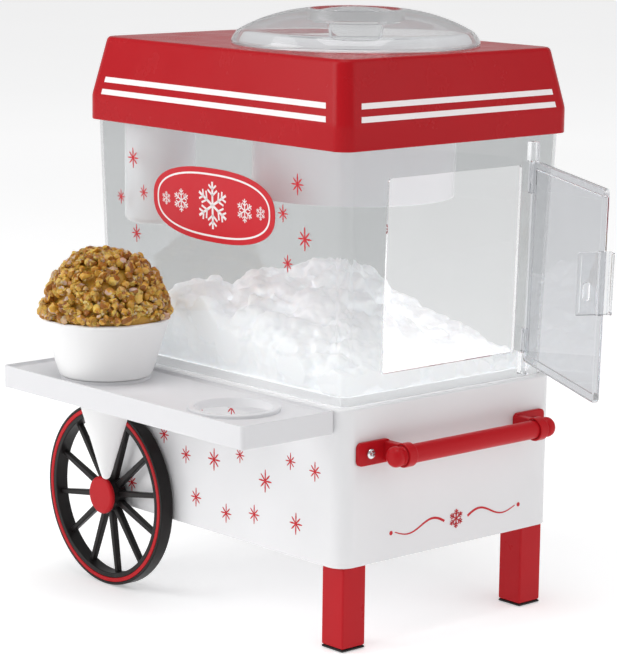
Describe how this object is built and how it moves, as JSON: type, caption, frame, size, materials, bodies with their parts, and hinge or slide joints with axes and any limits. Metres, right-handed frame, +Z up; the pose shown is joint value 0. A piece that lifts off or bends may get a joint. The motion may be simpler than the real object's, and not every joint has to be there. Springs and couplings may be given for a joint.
{
  "type": "shaved ice machine",
  "caption": "Shaved ice machine shaped as a small vending cart: clear cabinet with hinged door, roof with domed ice hatch, push handle, cup shelf and spoked wheels.",
  "frame": {"origin": "middle of the footprint of the whole machine, shelf and open door included, at floor level", "axes": "+Z up, -Y towards the front with the door and the push handle, -X towards the cup shelf"},
  "size_m": [0.301, 0.4223, 0.4122],
  "materials": {
    "white_plastic": "moulded, semi-gloss",
    "red_plastic": "moulded, gloss",
    "clear_plastic": "clear, polished",
    "black_plastic": "moulded, semi-gloss",
    "black_rubber": "matt",
    "bright_steel": "bright",
    "bronze": "sintered, oiled",
    "shaved_ice": "snowy",
    "flavoured_ice": "wet, granular"
  },
  "bodies": {
    "cart": {"axle_bush_left": "black_plastic", "axle_bush_right": "black_plastic", "axle_push_nut_left": "bright_steel", "axle_push_nut_right": "bright_steel", "base_bottom_plate": "white_plastic", "base_shell": "white_plastic", "bearing_spider": "white_plastic", "cabinet_case": "clear_plastic", "chute_shroud": "white_plastic", "cord_gland": "black_plastic", "cup_shelf": "white_plastic", "drive_belt": "black_rubber", "floor_pan": "white_plastic", "foot_pad_left": "black_rubber", "foot_pad_right": "black_rubber", "front_leg_left": "red_plastic", "front_leg_right": "red_plastic", "handle_bar": "red_plastic", "handle_bracket_left": "red_plastic", "handle_bracket_right": "red_plastic", "handle_knob_left": "red_plastic", "handle_knob_right": "red_plastic", "handle_screw_left": "bright_steel", "handle_screw_right": "bright_steel", "hinge_bracket_lower": "clear_plastic", "hinge_bracket_upper": "clear_plastic", "ice_chamber": "white_plastic", "motor": "bright_steel", "motor_cover": "white_plastic", "motor_screw_1": "bright_steel", "motor_screw_2": "bright_steel", "roof_cover": "red_plastic", "roof_deck": "white_plastic", "shaft_bush": "bronze", "shaved_ice_heap": "shaved_ice", "switch_body": "black_plastic", "wheel_axle": "bright_steel", "wiring_lead": "black_plastic"},
    "wheel_left": {"wheel_left": "black_plastic", "wheel_ring_left": "red_plastic", "hub_cap_left": "red_plastic"},
    "wheel_right": {"wheel_right": "black_plastic", "wheel_ring_right": "red_plastic", "hub_cap_right": "red_plastic"},
    "door": {"door_panel": "clear_plastic", "door_latch": "clear_plastic"},
    "lid": {"dome_lid": "clear_plastic"},
    "plunger": {"plunger_knob": "clear_plastic", "ice_pusher": "clear_plastic"},
    "rotor": {"blade_shaft": "bright_steel", "shaft_collar": "bright_steel", "blade_pulley": "black_plastic", "blade_disc": "bright_steel", "shaving_blades": "bright_steel", "blade_nut": "bright_steel"},
    "motor_rotor": {"motor_shaft": "bright_steel", "motor_pulley": "black_plastic"},
    "rocker": {"switch_rocker": "red_plastic"},
    "snow_cone": {"snow_cone_cup": "white_plastic", "flavoured_ice": "flavoured_ice"}
  },
  "joints": [
    {"name": "door_hinge", "type": "hinge", "parent": "cart", "child": "door", "pos_m": [0.10425, -0.08665, 0.163], "axis": [0, -0.0284, 0.9996], "range_deg": [-64, 96]},
    {"name": "wheel_left_spin", "type": "hinge", "parent": "cart", "child": "wheel_left", "pos_m": [0.03475, 0.14615, 0.065], "axis": [1, 0, 0], "continuous": true},
    {"name": "wheel_right_spin", "type": "hinge", "parent": "cart", "child": "wheel_right", "pos_m": [0.03475, 0.14615, 0.065], "axis": [1, 0, 0], "continuous": true},
    {"name": "lid_lift", "type": "slide", "parent": "cart", "child": "lid", "axis": [0, 0, 1], "range_m": [0, 0.12]},
    {"name": "plunger_press", "type": "slide", "parent": "lid", "child": "plunger", "axis": [0, 0, 1], "range_m": [-0.025, 0]},
    {"name": "blade_spin", "type": "hinge", "parent": "cart", "child": "rotor", "pos_m": [0.03475, 0.01215, 0.34], "axis": [0, 0, 1], "continuous": true},
    {"name": "motor_spin", "type": "hinge", "parent": "cart", "child": "motor_rotor", "pos_m": [-0.03225, 0.13815, 0.34], "axis": [0, 0, 1], "continuous": true},
    {"name": "power_switch", "type": "hinge", "parent": "cart", "child": "rocker", "pos_m": [0.00475, 0.16845, 0.36624], "axis": [1, 0, 0], "range_deg": [0, 14]},
    {"name": "snow_cone_lift", "type": "slide", "parent": "cart", "child": "snow_cone", "axis": [-0.0436, 0, 0.999], "range_m": [0, 0.1]}
  ],
  "couplings": [
    {"joint": "motor_spin", "follows": "blade_spin", "ratio": 6.75}
  ]
}
